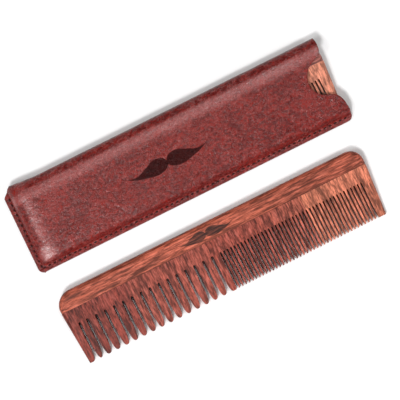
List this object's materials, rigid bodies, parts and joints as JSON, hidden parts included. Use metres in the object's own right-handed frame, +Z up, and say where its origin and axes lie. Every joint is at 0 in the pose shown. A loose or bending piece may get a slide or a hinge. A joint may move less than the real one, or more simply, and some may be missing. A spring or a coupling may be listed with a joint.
{
  "type": "beard comb with sleeve",
  "caption": "Flat wooden beard comb with coarse teeth at one end and fine teeth at the other, shown in a folded leather sleeve with a thumb notch and loose in front of it.",
  "frame": {"origin": "centre of the group's footprint, on the surface that it lies on", "axes": "+X along the comb from its coarse teeth to its fine teeth and out of the sleeve's mouth, +Y from the tooth tips to the back, +Z up"},
  "size_m": [0.186, 0.1036, 0.0101],
  "materials": {
    "leather": "satin dark red with a fine wrinkled grain",
    "leather_backing": "grey brushed cloth",
    "thread": "dark red-brown waxed thread",
    "spine_wood": "oiled red wood, grain lengthwise",
    "dark_tooth_wood": "oiled dark red wood, grain along the teeth",
    "red_tooth_wood": "oiled red wood, grain along the teeth",
    "streaked_tooth_wood": "oiled red wood with pale streaks along the teeth",
    "light_tooth_wood": "oiled light orange-red wood, grain along the teeth"
  },
  "bodies": {
    "sleeve": {"sleeve_leather": "leather", "sleeve_backing": "leather_backing", "sleeve_upper_stitches": "thread", "sleeve_lower_stitches": "thread"},
    "sleeved_comb": {"sleeved_spine": "spine_wood", "sleeved_end_coarse_teeth": "dark_tooth_wood", "sleeved_coarse_teeth": "red_tooth_wood", "sleeved_fine_teeth": "streaked_tooth_wood", "sleeved_end_fine_teeth": "light_tooth_wood"},
    "comb": {"comb_spine": "spine_wood", "comb_end_coarse_teeth": "dark_tooth_wood", "comb_coarse_teeth": "red_tooth_wood", "comb_fine_teeth": "streaked_tooth_wood", "comb_end_fine_teeth": "light_tooth_wood"}
  },
  "joints": [
    {"name": "comb_slide", "type": "slide", "parent": "sleeve", "child": "sleeved_comb", "axis": [1, 0, 0], "range_m": [0, 0.19]},
    {"name": "comb_lift", "type": "slide", "parent": "sleeve", "child": "comb", "axis": [0, 0, 1], "range_m": [0, 0.06]}
  ]
}
